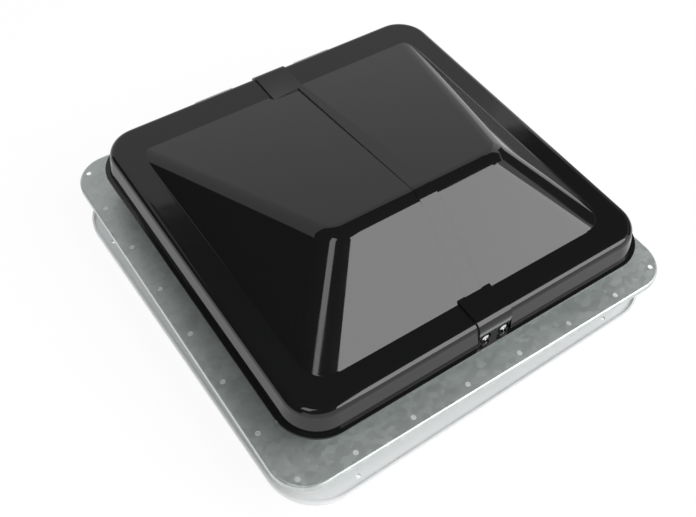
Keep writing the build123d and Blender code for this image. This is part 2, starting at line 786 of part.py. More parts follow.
def operator_body():
    """Casting on the crossbar: foot, two ears for the arm's pivot, and the worm's tower."""
    body = block((gear_x - base_half, gear_x + base_half), (base_front_y, base_back_y),
                 (bar_top_z, base_top_z))
    ear = outline((pivot_y - ear_foot_half, bar_top_z), (pivot_y + ear_foot_half, bar_top_z),
                  (pivot_y + ear_half, pivot_z), (pivot_y - ear_half, pivot_z))
    ear += Pos(pivot_y, pivot_z) * Circle(ear_half)
    ear -= Pos(pivot_y, pivot_z) * Circle(arm_pin_r + run_fit)
    body += side_plate(ear, ear_left_x, ear_left_x + ear_thick)
    body += side_plate(ear, ear_right_x, ear_right_x + ear_thick)
    body += rod((gear_x, worm_y, base_top_z - over), (gear_x, worm_y, lower_boss_z), boss_r)
    body += rod((gear_x, worm_y, upper_boss_low_z), (gear_x, worm_y, upper_boss_high_z), boss_r)
    wall_front_y = base_back_y - tower_wall_thick
    body += block((gear_x - tower_half, gear_x + tower_half), (wall_front_y, base_back_y),
                  (base_top_z - over, upper_boss_high_z))
    body += block((gear_x - boss_r, gear_x + boss_r), (worm_y, wall_front_y + over),
                  (upper_boss_low_z, upper_boss_high_z))
    body += block((gear_x - boss_r, gear_x + boss_r), (worm_y, wall_front_y + over),
                  (base_top_z - over, lower_boss_z))
    body -= rod((gear_x, worm_y, bar_z), (gear_x, worm_y, shaft_top_z), bushing_r)
    for x, y in base_screw_places():
        body -= rod((x, y, bar_z), (x, y, base_top_z + over), mount_screw_r + run_fit)
    return body


def shaft_bushings():
    """Flanged plain bearings in the casting's two bosses."""
    lower = rod((gear_x, worm_y, bar_top_z), (gear_x, worm_y, lower_boss_z), bushing_r - run_fit)
    lower += rod((gear_x, worm_y, lower_boss_z),
                 (gear_x, worm_y, lower_boss_z + bushing_flange_thick), bushing_flange_r)
    upper = rod((gear_x, worm_y, upper_boss_low_z),
                (gear_x, worm_y, upper_boss_high_z), bushing_r - run_fit)
    upper += rod((gear_x, worm_y, upper_boss_high_z),
                 (gear_x, worm_y, upper_boss_high_z + bushing_flange_thick), bushing_flange_r)
    bore = rod((gear_x, worm_y, bar_z), (gear_x, worm_y, shaft_top_z), shaft_r + run_fit)
    return (lower - bore) + (upper - bore)


def worm_shaft():
    """Upright shaft with a single-start right-hand worm."""
    slope = tan(radians(pressure_angle))
    pitch_half = tooth_pitch / 4 - thread_clearance
    shaft = rod((0, 0, shaft_bottom_z), (0, 0, shaft_top_z), shaft_r)
    core_half = worm_half_long + tooth_pitch / 2
    shaft += rod((0, 0, pivot_z - core_half), (0, 0, pivot_z + core_half), worm_root_r)
    path = Pos(0, 0, pivot_z - worm_half_long) * Helix(tooth_pitch, 2 * worm_half_long, worm_pitch_r)
    inner_r = worm_root_r - tooth_sink / 2
    inner_half = pitch_half + (worm_pitch_r - inner_r) * slope
    tip_half = pitch_half - gear_module * slope
    section = outline((inner_r - worm_pitch_r, -inner_half), (gear_module, -tip_half),
                      (gear_module, tip_half), (inner_r - worm_pitch_r, inner_half))
    start = Plane(origin=path @ 0, x_dir=(1, 0, 0), z_dir=path % 0)
    thread = sweep(start * section, path=path, is_frenet=True)
    return Pos(gear_x, worm_y, 0) * (shaft + thread)


def shaft_clip():
    """Retaining ring on the shaft's top end."""
    ring = rod((gear_x, worm_y, clip_ring_z), (gear_x, worm_y, clip_ring_z + clip_ring_thick), clip_ring_r)
    return ring - rod((gear_x, worm_y, clip_ring_z - over),
                      (gear_x, worm_y, clip_ring_z + clip_ring_thick + over), shaft_r + run_fit)


def bar_screw_places():
    """Places along Y of the screws at each end of the crossbar."""
    return [bar_middle_y + side * bar_screw_half_pitch for side in (-1, 1)]


def crossbar():
    """Steel channel over the throat, its ends turned up against the throat's walls."""
    y = (bar_front_y, bar_back_y)
    bar = block((-throat_half, throat_half), y, (bar_z, bar_top_z))
    edge_half = throat_half - bar_edge_high
    for low in (bar_front_y, bar_back_y - bar_thick):
        bar += block((-edge_half, edge_half), (low, low + bar_thick), (bar_z, bar_top_z + bar_edge_high))
    for side in (-1, 1):
        wall = sorted((side * (throat_half - bar_thick), side * throat_half))
        bar += block(wall, y, (bar_z, bar_z + bar_tab_high))
        for at_y in bar_screw_places():
            bar -= rod((side * (throat_half - bar_thick - over), at_y, bar_screw_z),
                       (side * (throat_half + over), at_y, bar_screw_z), mount_screw_r + run_fit)
    bar -= rod((gear_x, worm_y, bar_z - over), (gear_x, worm_y, bar_top_z + over), bushing_r + over)
    for at_x, at_y in base_screw_places():
        bar -= rod((at_x, at_y, bar_z - over), (at_x, at_y, bar_top_z + over), mount_screw_r + run_fit)
    return bar


def crossbar_screws():
    """Screws through the crossbar's ends and the throat's walls."""
    length = bar_thick + sheet + bar_screw_tail
    return joined([
        screw((side * (throat_half - bar_thick), y, bar_screw_z), (side, 0, 0), length,
              mount_screw_r, mount_screw_head_r, mount_screw_head_high)
        for side in (-1, 1) for y in bar_screw_places()
    ])


def operator_screws():
    """Screws that hold the casting's foot on the crossbar."""
    length = base_thick + bar_thick + bar_screw_tail
    return joined([
        screw((x, y, base_top_z), (0, 0, -1), length,
              mount_screw_r, mount_screw_head_r, mount_screw_head_high)
        for x, y in base_screw_places()
    ])


def crank_point(reach, z, sideways=0):
    """Point at a distance out along the handle and, if wanted, off to its side."""
    angle = radians(handle_angle)
    x = gear_x + reach * cos(angle) - sideways * sin(angle)
    y = worm_y + reach * sin(angle) + sideways * cos(angle)
    return (x, y, z)


def crank_handle():
    """Handle with a hub on the shaft and a tapering arm."""
    low = handle_top_z - handle_thick
    corners = [
        crank_point(0, low, -handle_root_half),
        crank_point(crank_reach, low, -handle_end_half),
        crank_point(crank_reach, low, handle_end_half),
        crank_point(0, low, handle_root_half),
    ]
    handle = extrude(outline(*corners), handle_thick, dir=(0, 0, 1))
    handle += rod(crank_point(0, handle_hub_low_z), crank_point(0, handle_top_z), handle_hub_r)
    handle += rod(crank_point(crank_reach, low), crank_point(crank_reach, handle_top_z), handle_end_r)
    handle -= rod(crank_point(0, shaft_bottom_z), crank_point(0, handle_top_z + over), shaft_r + run_fit)
    handle -= rod(crank_point(crank_reach, low - over), crank_point(crank_reach, handle_top_z + over),
                  knob_pin_r + run_fit)
    return handle - rod(crank_point(0, set_screw_z), crank_point(-handle_hub_r - over, set_screw_z),
                        set_screw_r + run_fit)


def set_screw():
    """Headless screw from the hub's side onto the shaft."""
    return rod(crank_point(-shaft_r - run_fit, set_screw_z),
               crank_point(-handle_hub_r, set_screw_z), set_screw_r)


def knob():
    """Turning knob under the handle's end."""
    top = handle_top_z - handle_thick - free_gap
    half_profile = outline((0, top), (knob_neck_r, top), (knob_r, (top + knob_bottom_z) / 2),
                           (knob_r, knob_bottom_z), (0, knob_bottom_z))
    body = revolve(Plane.XZ * half_profile, Axis.Z)
    body = chamfer(body.edges().group_by(Axis.Z)[0], knob_edge)
    body = Pos(*crank_point(crank_reach, 0)) * body
    body -= rod(crank_point(crank_reach, knob_bottom_z - over),
                crank_point(crank_reach, knob_bottom_z + knob_bore_depth), knob_pin_head_r + free_gap)
    return body - rod(crank_point(crank_reach, knob_bottom_z - over), crank_point(crank_reach, top + over),
                      knob_pin_r + run_fit)


def knob_pin():
    """Shouldered pin that the knob turns on."""
    head_top = knob_bottom_z + knob_bore_depth - free_gap
    pin = rod(crank_point(crank_reach, head_top - knob_pin_head_high),
              crank_point(crank_reach, handle_top_z), knob_pin_r)
    return pin + rod(crank_point(crank_reach, head_top - knob_pin_head_high),
                     crank_point(crank_reach, head_top), knob_pin_head_r)


def trim_ring():
    """Loose plastic ring: wide plate, upturned rim and a neck that stands inside the throat."""
    rim_top_z = ring_bottom_z + ring_rim_high
    ring = slab(ring_half, ring_corner_r, ring_bottom_z, rim_top_z)
    ring = fillet(ring.edges().group_by(Axis.Z)[0], ring_edge_r)
    ring -= slab(ring_half - ring_rim_wall, ring_corner_r - ring_rim_wall,
                 ring_bottom_z + ring_thick, rim_top_z + over)
    ring += slab(neck_half, neck_corner_r, ring_bottom_z, bar_z)
    ring -= slab(neck_inner_half, neck_corner_r - neck_wall, ring_bottom_z - over, bar_z + over)
    for side in (-1, 1):
        for step in (-ring_hole_half_pitch, ring_hole_half_pitch):
            for x, y in ((step, side * ring_hole_line), (side * ring_hole_line, step)):
                ring -= rod((x, y, ring_bottom_z - over),
                            (x, y, ring_bottom_z + ring_thick + over), ring_hole_r)
    for side, y in clip_places():
        ring -= rod((side * (neck_inner_half - over), y, clip_rivet_z),
                    (side * (neck_half + over), y, clip_rivet_z), rivet_r + run_fit)
    return Rot(0, 0, ring_turn) * ring


def clip_places():
    """Side and place along it of each screen clip."""
    return [(side, step) for side in (-1, 1) for step in (-clip_place, clip_place)]


def screen_frame():
    """Aluminium frame with a groove that grips the net."""
    corner_r = neck_corner_r - neck_wall - screen_fit
    inner_half = screen_half - screen_frame_wide
    frame = slab(screen_half, corner_r, screen_low_z, screen_top_z)
    frame -= slab(inner_half, corner_r / 2, screen_low_z - over, screen_top_z + over)
    groove_half = inner_half + mesh_grip
    frame -= slab(groove_half, corner_r / 2, mesh_middle_z - mesh_thick / 2, mesh_middle_z + mesh_thick / 2)
    return Rot(0, 0, ring_turn) * frame


def screen_mesh():
    """Insect net as one holed sheet, with a round hole for the crank's shaft."""
    inner_half = screen_half - screen_frame_wide
    corner_r = (neck_corner_r - neck_wall - screen_fit) / 2
    sheet_face = RectangleRounded(2 * (inner_half + mesh_grip), 2 * (inner_half + mesh_grip), corner_r)
    pitch = 2 * inner_half / mesh_gaps
    turned = Vector(gear_x, worm_y, 0).rotate(Axis.Z, -ring_turn)
    places = [
        ((column + 1 / 2) * pitch - inner_half, (row + 1 / 2) * pitch - inner_half)
        for column in range(mesh_gaps) for row in range(mesh_gaps)
    ]
    keep = grommet_r + pitch / 2
    open_places = [
        (x, y) for x, y in places if max(abs(x - turned.X), abs(y - turned.Y)) > keep
    ]
    gap = pitch - mesh_bar
    sheet_face -= [Pos(x, y) * Rectangle(gap, gap) for x, y in open_places]
    sheet_face -= Pos(turned.X, turned.Y) * Circle(grommet_groove_r + run_fit)
    net = Pos(0, 0, mesh_middle_z - mesh_thick / 2) * extrude(sheet_face, mesh_thick)
    return Rot(0, 0, ring_turn) * net


def shaft_grommet():
    """Rubber grommet in the net, round the shaft."""
    low = mesh_middle_z - grommet_thick / 2
    high = mesh_middle_z + grommet_thick / 2
    ring = rod((gear_x, worm_y, low), (gear_x, worm_y, high), grommet_r)
    groove = rod((gear_x, worm_y, mesh_middle_z - mesh_thick / 2),
                 (gear_x, worm_y, mesh_middle_z + mesh_thick / 2), grommet_r + over)
    groove -= rod((gear_x, worm_y, low), (gear_x, worm_y, high), grommet_groove_r)
    return ring - groove - rod((gear_x, worm_y, low - over), (gear_x, worm_y, high + over), grommet_bore_r)


def screen_clips():
    """Small angles on the neck that carry the screen's frame."""
    clips = []
    for side, step in clip_places():
        y = (step - clip_half, step + clip_half)
        wall = side * neck_inner_half
        leg = sorted((wall, wall - side * clip_thick))
        foot = sorted((wall, wall - side * clip_foot_long))
        clip = block(leg, y, (screen_low_z - clip_thick - clip_leg_long, screen_low_z))
        clip += block(foot, y, (screen_low_z - clip_thick, screen_low_z))
        clip -= rod((wall, step, clip_rivet_z),
                    (wall - side * (clip_thick + over), step, clip_rivet_z), rivet_r + run_fit)
        clips.append(clip)
    return Rot(0, 0, ring_turn) * joined(clips)


def clip_rivets():
    """Rivets through the clips and the neck."""
    inside = neck_inner_half - clip_thick
    rivets = [
        rivet((side * inside, step, clip_rivet_z), (side, 0, 0), clip_thick + neck_wall)
        for side, step in clip_places()
    ]
    return Rot(0, 0, ring_turn) * joined(rivets)


nodes = {
    "roof_base": roof_base,
    "collar_gasket": gasket,
    "lid_shell": lid_shell,
    "lid_strap": lid_strap,
    "lid_front_screws": front_screws,
    "lid_rear_rivets": rear_rivets,
    "lid_hinge_leaves": lid_hinge_leaves,
    "lid_leaf_rivets": lid_leaf_rivets,
    "foot_hinge_leaves": foot_hinge_leaves,
    "foot_leaf_rivets": foot_leaf_rivets,
    "hinge_pins": hinge_pins,
    "lift_guide": lift_guide,
    "guide_rivets": guide_rivets,
    "slide_shoe": slide_shoe,
    "lift_arm": lift_arm,
    "arm_tip_pin": tip_pin,
    "arm_pivot_pin": pivot_pin,
    "operator_body": operator_body,
    "operator_screws": operator_screws,
    "shaft_bushings": shaft_bushings,
    "worm_shaft": worm_shaft,
    "shaft_clip": shaft_clip,
    "crossbar": crossbar,
    "crossbar_screws": crossbar_screws,
    "crank_handle": crank_handle,
    "handle_set_screw": set_screw,
    "crank_knob": knob,
    "knob_pin": knob_pin,
    "trim_ring": trim_ring,
    "screen_frame": screen_frame,
    "screen_mesh": screen_mesh,
    "shaft_grommet": shaft_grommet,
    "screen_clips": screen_clips,
    "clip_rivets": clip_rivets,
}

os.makedirs("parts", exist_ok=True)
for name, make in nodes.items():
    export_step(make(), f"parts/{name}.step")
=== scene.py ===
import json
from math import cos, radians, sin

import bmesh
import bpy
from mathutils import Matrix, Vector


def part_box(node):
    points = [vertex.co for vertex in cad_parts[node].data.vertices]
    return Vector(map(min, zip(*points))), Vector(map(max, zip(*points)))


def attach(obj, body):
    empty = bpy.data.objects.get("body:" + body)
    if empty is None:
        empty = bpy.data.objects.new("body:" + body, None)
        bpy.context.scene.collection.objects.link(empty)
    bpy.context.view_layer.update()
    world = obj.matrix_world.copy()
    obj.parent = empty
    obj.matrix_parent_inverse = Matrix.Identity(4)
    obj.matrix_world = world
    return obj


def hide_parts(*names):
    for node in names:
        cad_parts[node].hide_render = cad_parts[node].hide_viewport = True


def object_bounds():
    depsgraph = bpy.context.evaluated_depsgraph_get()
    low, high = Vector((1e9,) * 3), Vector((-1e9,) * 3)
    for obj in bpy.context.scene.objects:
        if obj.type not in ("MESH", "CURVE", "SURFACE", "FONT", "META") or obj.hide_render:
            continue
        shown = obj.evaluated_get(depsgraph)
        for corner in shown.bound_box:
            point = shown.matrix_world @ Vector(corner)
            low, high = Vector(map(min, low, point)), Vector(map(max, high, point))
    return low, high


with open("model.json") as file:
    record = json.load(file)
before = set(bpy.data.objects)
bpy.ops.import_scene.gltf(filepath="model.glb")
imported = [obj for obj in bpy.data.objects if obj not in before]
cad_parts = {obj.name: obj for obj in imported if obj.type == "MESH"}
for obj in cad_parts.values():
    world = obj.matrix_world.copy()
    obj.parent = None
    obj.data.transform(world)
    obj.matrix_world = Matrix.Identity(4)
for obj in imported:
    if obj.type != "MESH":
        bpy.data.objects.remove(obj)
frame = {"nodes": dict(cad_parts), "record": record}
cad_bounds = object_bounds()
nodes = frame["nodes"]

# The photograph's camera, found from the flange's edges, its holes and the lid's corners
photo_size = (696, 517)
focal_px = 920.8
sensor_wide = 36.0
camera_azimuth = radians(-36.311)
camera_elevation = radians(51.561)
camera_roll = radians(2.851)
camera_distance = 0.8955
camera_target = Vector((-0.03995, -0.0351, 0.0008))


# Shader maths

class Value:
    """A number carried by a socket. Sums and products add Math nodes."""

    def __init__(self, finish, socket):
        self.finish = finish
        self.socket = socket

    def combine(self, operation, first, second):
        """One Math node on two numbers."""
        made = self.finish.node("ShaderNodeMath", {"operation": operation}, {0: first, 1: second})
        return Value(self.finish, made.outputs[0])

    def __add__(self, other):
        return self.combine("ADD", self, other)

    def __radd__(self, other):
        return self.combine("ADD", other, self)

    def __mul__(self, other):
        return self.combine("MULTIPLY", self, other)

    def __rmul__(self, other):
        return self.combine("MULTIPLY", other, self)


class Finish:
    """A material in the making: its nodes, its links and its Principled shader."""

    def __init__(self, name, tree=None, **constants):
        if tree is None:
            self.material = bpy.data.materials.new(name)
            self.material.use_nodes = True
            tree = self.material.node_tree
        self.tree = tree
        tree.nodes.clear()
        self.shader = None
        if constants:
            sockets = {word.replace("_", " ").title().replace("Ior", "IOR"): value
                       for word, value in constants.items()}
            self.shader = self.node("ShaderNodeBsdfPrincipled", {}, sockets)
            self.node("ShaderNodeOutputMaterial", {}, {"Surface": self.shader.outputs[0]})
        self.coordinates = None

    def node(self, kind, settings=None, inputs=None):
        """Adds a node: its settings first, then the values or links of its sockets."""
        made = self.tree.nodes.new(kind)
        for name, value in (settings or {}).items():
            setattr(made, name, value)
        for key, value in (inputs or {}).items():
            if isinstance(value, Value):
                value = value.socket
            if isinstance(value, bpy.types.NodeSocket):
                self.tree.links.new(value, made.inputs[key])
            else:
                made.inputs[key].default_value = value
        return made

    def place(self, scale=(1, 1, 1), turn=(0, 0, 0)):
        """Object coordinates, stretched and turned."""
        if self.coordinates is None:
            self.coordinates = self.node("ShaderNodeTexCoord").outputs["Object"]
        mapping = self.node("ShaderNodeMapping", {}, {
            "Vector": self.coordinates, "Rotation": turn, "Scale": scale,
        })
        return mapping.outputs[0]

    def noise(self, scale, detail, roughness, distortion=0, stretch=(1, 1, 1), turn=(0, 0, 0)):
        """Cloudy variation from 0 to 1 about one half."""
        made = self.node("ShaderNodeTexNoise", {}, {
            "Vector": self.place(stretch, turn), "Scale": scale, "Detail": detail,
            "Roughness": roughness, "Distortion": distortion,
        })
        return Value(self, made.outputs[0])

    def cells(self, scale, output="Color", stretch=(1, 1, 1)):
        """Voronoi cells: a number of its own for each, or the distance within it."""
        made = self.node("ShaderNodeTexVoronoi", {"feature": "F1"}, {
            "Vector": self.place(stretch), "Scale": scale, "Randomness": 1,
        })
        if output == "Color":
            parted = self.node("ShaderNodeSeparateColor", {}, {0: made.outputs["Color"]})
            return Value(self, parted.outputs[0])
        return Value(self, made.outputs[output])

    def waves(self, scale, axis, distortion):
        """Regular bands across an axis."""
        settings = {"wave_type": "BANDS", "bands_direction": axis, "wave_profile": "SIN"}
        made = self.node("ShaderNodeTexWave", settings, {
            "Vector": self.place(), "Scale": scale, "Distortion": distortion, "Detail": 1,
        })
        return Value(self, made.outputs["Fac"])

    def between(self, number, low, high, low_to=0.0, high_to=1.0, smooth=True):
        """The number carried from one span onto another and held inside it."""
        kind = "SMOOTHSTEP" if smooth else "LINEAR"
        made = self.node("ShaderNodeMapRange", {"interpolation_type": kind}, {
            "Value": number, "From Min": low, "From Max": high, "To Min": low_to, "To Max": high_to,
        })
        return Value(self, made.outputs[0])

    def mix(self, share, first, second):
        """Two colours mixed."""
        made = self.node("ShaderNodeMix", {"data_type": "RGBA"}, {0: share, 6: first, 7: second})
        return made.outputs[2]

    def feed(self, **sockets):
        """Links values to the shader's sockets."""
        for word, value in sockets.items():
            if isinstance(value, Value):
                value = value.socket
            self.tree.links.new(value, self.shader.inputs[word.replace("_", " ").title()])

    def bump(self, height, strength, distance):
        """Raises the surface's shading by a height, which is the distance in metres where it is 1."""
        made = self.node("ShaderNodeBump", {}, {
            "Strength": strength, "Distance": distance, "Height": height,
        })
        self.feed(normal=made.outputs[0])


def grey(level, tint=(1, 1, 1)):
    """Opaque colour from a level and a tint."""
    return (*[level * share for share in tint], 1)


# Finishes

green_tint = (0.93, 1.0, 0.97)
cool_tint = (0.98, 1.0, 1.02)
warm_tint = (1.02, 1.0, 0.96)
waxy_tint = (1.0, 0.98, 0.9)
pale_waxy_tint = (1.0, 0.99, 0.94)

# Heights of the finishes' small relief
turning_high = 0.00008
scratch_high = 0.0001
grain_high = 0.0002
pore_deep = 0.0006
ripple_high = 0.0008
wipe_turn = radians(28)


def galvanised():
    """Hot-dip galvanised sheet: soft spangle, rolling streaks and dull patches."""
    sheet = Finish("galvanised_sheet", metallic=0.76, roughness=0.4)
    spangle = sheet.cells(scale=150, stretch=(1, 1.25, 1))
    crumbs = sheet.noise(scale=900, detail=4, roughness=0.7)
    patches = sheet.noise(scale=9, detail=3, roughness=0.55, distortion=0.6)
    streaks = sheet.noise(scale=30, detail=3, roughness=0.6, stretch=(0.12, 3, 3))
    tone = sheet.between(0.35 * spangle + 0.45 * patches + 0.2 * streaks, 0.2, 0.8)
    colour = sheet.mix(tone, grey(0.58, green_tint), grey(0.7, green_tint))
    dull = sheet.between(patches, 0.56, 0.72)
    colour = sheet.mix(0.25 * dull, colour, grey(0.42, green_tint))
    sheet.feed(base_color=colour, roughness=0.3 + 0.06 * spangle + 0.1 * patches + 0.05 * crumbs)
    sheet.bump(0.5 * spangle + 0.5 * crumbs, strength=0.08, distance=grain_high)
    return sheet.material


def black_lid():
    """Vacuum-formed black sheet: glossy, with faint ripple, handling haze and dust."""
    skin = Finish("black_lid_plastic", roughness=0.1, ior=1.49, metallic=0.0)
    ripple = skin.noise(scale=26, detail=2, roughness=0.5)
    haze = skin.noise(scale=11, detail=4, roughness=0.6, distortion=0.8)
    wipes = skin.noise(scale=40, detail=3, roughness=0.6, distortion=0.4,
                       stretch=(0.5, 2.5, 1), turn=(0, 0, wipe_turn))
    grains = skin.cells(scale=700, output="Distance")
    dust = skin.between(grains, 0.0, 0.16, 1.0, 0.0) * skin.between(haze, 0.52, 0.72)
    colour = skin.mix(0.35 * dust, grey(0.0075, cool_tint), grey(0.16))
    hazy = skin.between(haze, 0.45, 0.75)
    wiped = skin.between(wipes, 0.5, 0.8)
    skin.feed(base_color=colour, roughness=0.055 + 0.07 * hazy + 0.04 * wiped + 0.3 * dust)
    skin.bump(ripple, strength=0.06, distance=ripple_high)
    return skin.material


def pale_ring():
    """Moulded pale plastic with a fine grain and faint handling marks."""
    plastic = Finish("pale_ring_plastic", roughness=0.4, ior=1.5, metallic=0.0)
    clouds = plastic.noise(scale=14, detail=3, roughness=0.5)
    grain = plastic.noise(scale=1400, detail=2, roughness=0.6)
    marks = plastic.between(plastic.noise(scale=60, detail=4, roughness=0.65, distortion=1.2), 0.6, 0.75)
    colour = plastic.mix(clouds, grey(0.8, cool_tint), grey(0.86))
    plastic.feed(base_color=plastic.mix(0.12 * marks, colour, grey(0.55, warm_tint)),
                 roughness=0.36 + 0.1 * clouds + 0.08 * marks)
    plastic.bump(grain, strength=0.12, distance=grain_high)
    return plastic.material


def foam():
    """Closed-cell foam strip with open pores in its skin."""
    strip = Finish("seal_foam", roughness=0.9, metallic=0.0)
    pores = strip.cells(scale=520, output="Distance")
    clouds = strip.noise(scale=40, detail=3, roughness=0.6)
    strip.feed(base_color=strip.mix(pores * clouds, grey(0.018), grey(0.06)),
               roughness=0.8 + 0.15 * clouds)
    strip.bump(pores, strength=0.6, distance=pore_deep)
    return strip.material


def zinc():
    """Bright zinc plating on pressed strip, with rolled streaks and a faint blue cast."""
    plate = Finish("zinc_strip", metallic=1.0, roughness=0.35)
    streaks = plate.noise(scale=260, detail=3, roughness=0.6, stretch=(0.06, 1, 1))
    clouds = plate.noise(scale=34, detail=3, roughness=0.5, distortion=0.4)
    plate.feed(base_color=plate.mix(clouds, grey(0.56, cool_tint), grey(0.68, warm_tint)),
               roughness=0.26 + 0.14 * streaks + 0.08 * clouds)
    plate.bump(streaks, strength=0.12, distance=scratch_high)
    return plate.material


def bright_screw():
    """Bright steel screws with fine turning marks."""
    steel = Finish("bright_screw_steel", metallic=1.0, roughness=0.22)
    rub = steel.noise(scale=700, detail=3, roughness=0.6)
    steel.feed(base_color=steel.mix(rub, grey(0.7), grey(0.84)), roughness=0.16 + 0.14 * rub)
    steel.bump(rub, strength=0.08, distance=scratch_high)
    return steel.material


def rivet_metal():
    """Soft aluminium rivets, marked by the setting tool."""
    metal = Finish("rivet_aluminium", metallic=1.0, roughness=0.36)
    dents = metal.noise(scale=520, detail=2, roughness=0.5)
    metal.feed(base_color=metal.mix(dents, grey(0.6), grey(0.76)), roughness=0.28 + 0.18 * dents)
    metal.bump(dents, strength=0.25, distance=grain_high)
    return metal.material


def pin_steel():
    """Turned steel with rings round the work and a film of grease."""
    steel = Finish("turned_pin_steel", metallic=1.0, roughness=0.25)
    turned = steel.waves(scale=1800, axis="Z", distortion=1.5)
    film = steel.noise(scale=60, detail=3, roughness=0.6)
    steel.feed(base_color=steel.mix(film, grey(0.5, warm_tint), grey(0.66)),
               roughness=0.18 + 0.1 * turned + 0.12 * film)
    steel.bump(turned, strength=0.1, distance=turning_high)
    return steel.material


def arm_steel():
    """Zinc-plated arm: stamped faces, darker where it was hardened."""
    steel = Finish("lift_arm_steel", metallic=1.0, roughness=0.35)
    clouds = steel.noise(scale=45, detail=4, roughness=0.6, distortion=0.5)
    scratches = steel.noise(scale=380, detail=2, roughness=0.5, stretch=(1, 0.07, 1))
    steel.feed(base_color=steel.mix(clouds, grey(0.42, warm_tint), grey(0.6, cool_tint)),
               roughness=0.28 + 0.16 * scratches + 0.06 * clouds)
    steel.bump(scratches, strength=0.1, distance=scratch_high)
    return steel.material


def cast_body():
    """Die-cast housing: dull, slightly pebbled, with flow marks."""
    casting = Finish("cast_housing", metallic=0.9, roughness=0.5)
    pebble = casting.noise(scale=850, detail=3, roughness=0.6)
    flow = casting.noise(scale=50, detail=4, roughness=0.6, distortion=1.5)
    casting.feed(base_color=casting.mix(flow, grey(0.42, cool_tint), grey(0.55)),
                 roughness=0.42 + 0.14 * pebble + 0.06 * flow)
    casting.bump(pebble, strength=0.35, distance=grain_high)
    return casting.material


def nylon():
    """Natural nylon, waxy and slightly see-through at its edges."""
    plastic = Finish("natural_nylon", roughness=0.42, subsurface_weight=0.15, metallic=0.0)
    clouds = plastic.noise(scale=120, detail=3, roughness=0.5)
    plastic.feed(base_color=plastic.mix(clouds, grey(0.7, waxy_tint), grey(0.8, pale_waxy_tint)),
                 roughness=0.36 + 0.12 * clouds)
    plastic.bump(clouds, strength=0.1, distance=grain_high)
    return plastic.material


def handle_plastic():
    """Pale moulded handle with a fine spark-eroded grain and grip polish."""
    plastic = Finish("handle_plastic", roughness=0.45, metallic=0.0)
    grain = plastic.noise(scale=1600, detail=2, roughness=0.6)
    polish = plastic.noise(scale=70, detail=2, roughness=0.5)
    plastic.feed(base_color=plastic.mix(polish, grey(0.68, warm_tint), grey(0.76, warm_tint)),
                 roughness=0.38 + 0.16 * polish)
    plastic.bump(grain, strength=0.2, distance=grain_high)
    return plastic.material


def frame_aluminium():
    """Extruded aluminium with fine lines along its length."""
    metal = Finish("mill_aluminium", metallic=1.0, roughness=0.35)
    lines = metal.noise(scale=1100, detail=2, roughness=0.6, stretch=(0.05, 1, 1))
    cross = metal.noise(scale=1100, detail=2, roughness=0.6, stretch=(1, 0.05, 1))
    metal.feed(base_color=metal.mix(lines, grey(0.62), grey(0.74)),
               roughness=0.26 + 0.1 * lines + 0.1 * cross)
    metal.bump(lines + cross, strength=0.08, distance=scratch_high)
    return metal.material


def net():
    """Coated glass-fibre yarn, charcoal."""
    yarn = Finish("net_yarn", roughness=0.6, metallic=0.0)
    twist = yarn.noise(scale=2500, detail=2, roughness=0.5)
    yarn.feed(base_color=yarn.mix(twist, grey(0.035), grey(0.07)), roughness=0.5 + 0.2 * twist)
    yarn.bump(twist, strength=0.3, distance=scratch_high)
    return yarn.material


def rubber():
    """Soft black rubber with a talc bloom."""
    soft = Finish("grommet_rubber", roughness=0.75, metallic=0.0)
    bloom = soft.noise(scale=180, detail=3, roughness=0.6)
    soft.feed(base_color=soft.mix(bloom, grey(0.02), grey(0.05)), roughness=0.65 + 0.2 * bloom)
    soft.bump(bloom, strength=0.15, distance=grain_high)
    return soft.material


finishes = {
    "galvanised": galvanised(),
    "lid_plastic": black_lid(),
    "ring_plastic": pale_ring(),
    "foam": foam(),
    "zinc_strip": zinc(),
    "bright_screw": bright_screw(),
    "rivet_metal": rivet_metal(),
    "pin_steel": pin_steel(),
    "arm_steel": arm_steel(),
    "cast_body": cast_body(),
    "nylon": nylon(),
    "handle_plastic": handle_plastic(),
    "frame_aluminium": frame_aluminium(),
    "net": net(),
    "grommet_rubber": rubber(),
}
node_slots = {part["node"]: part["material_slot"] for part in frame["record"]["subparts"]}
node_bodies = {name: body for body, names in frame["record"]["behaviour"]["bodies"].items()
               for name in names}

for name, piece in nodes.items():
    piece.data.materials.clear()
    piece.data.materials.append(finishes[node_slots[name]])


# Pieces

def finished(name, mesh, node):
    """Object for a finished mesh, which stands for a CAD node and rides on its body."""
    piece = bpy.data.objects.new(name, mesh)
    bpy.context.scene.collection.objects.link(piece)
    mesh.materials.append(finishes[node_slots[node]])
    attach(piece, node_bodies[node])
    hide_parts(node)
    return piece


def smooth(mesh, sharp_angle):
    """Smooth shading, broken at edges sharper than the angle."""
    mesh.shade_smooth()
    mesh.set_sharp_from_angle(angle=sharp_angle)


merge_gap = 0.000002
flat_angle = radians(0.5)
crease_angle = radians(28)
rounding_segments = 2
flats_weight = 100


def skinned(name, edge_round, reshape=None):
    """Stands for a CAD node with the same form, its edges rounded and its curves shaded smoothly."""
    form = bmesh.new()
    form.from_mesh(nodes[name].data)
    bmesh.ops.remove_doubles(form, verts=form.verts, dist=merge_gap)
    bmesh.ops.dissolve_limit(form, angle_limit=flat_angle, verts=form.verts, edges=form.edges)
    if reshape:
        reshape(form)
    mesh = bpy.data.meshes.new(name + "_skin")
    form.to_mesh(mesh)
    form.free()
    smooth(mesh, crease_angle)
    piece = finished(name + "_skin", mesh, name)
    if edge_round:
        rounding = piece.modifiers.new("rounding", "BEVEL")
        rounding.limit_method = "ANGLE"
        rounding.angle_limit = crease_angle
        rounding.width = edge_round
        rounding.segments = rounding_segments
        rounding.use_clamp_overlap = True
    flats = piece.modifiers.new("flats", "WEIGHTED_NORMAL")
    flats.weight = flats_weight
    flats.keep_sharp = True


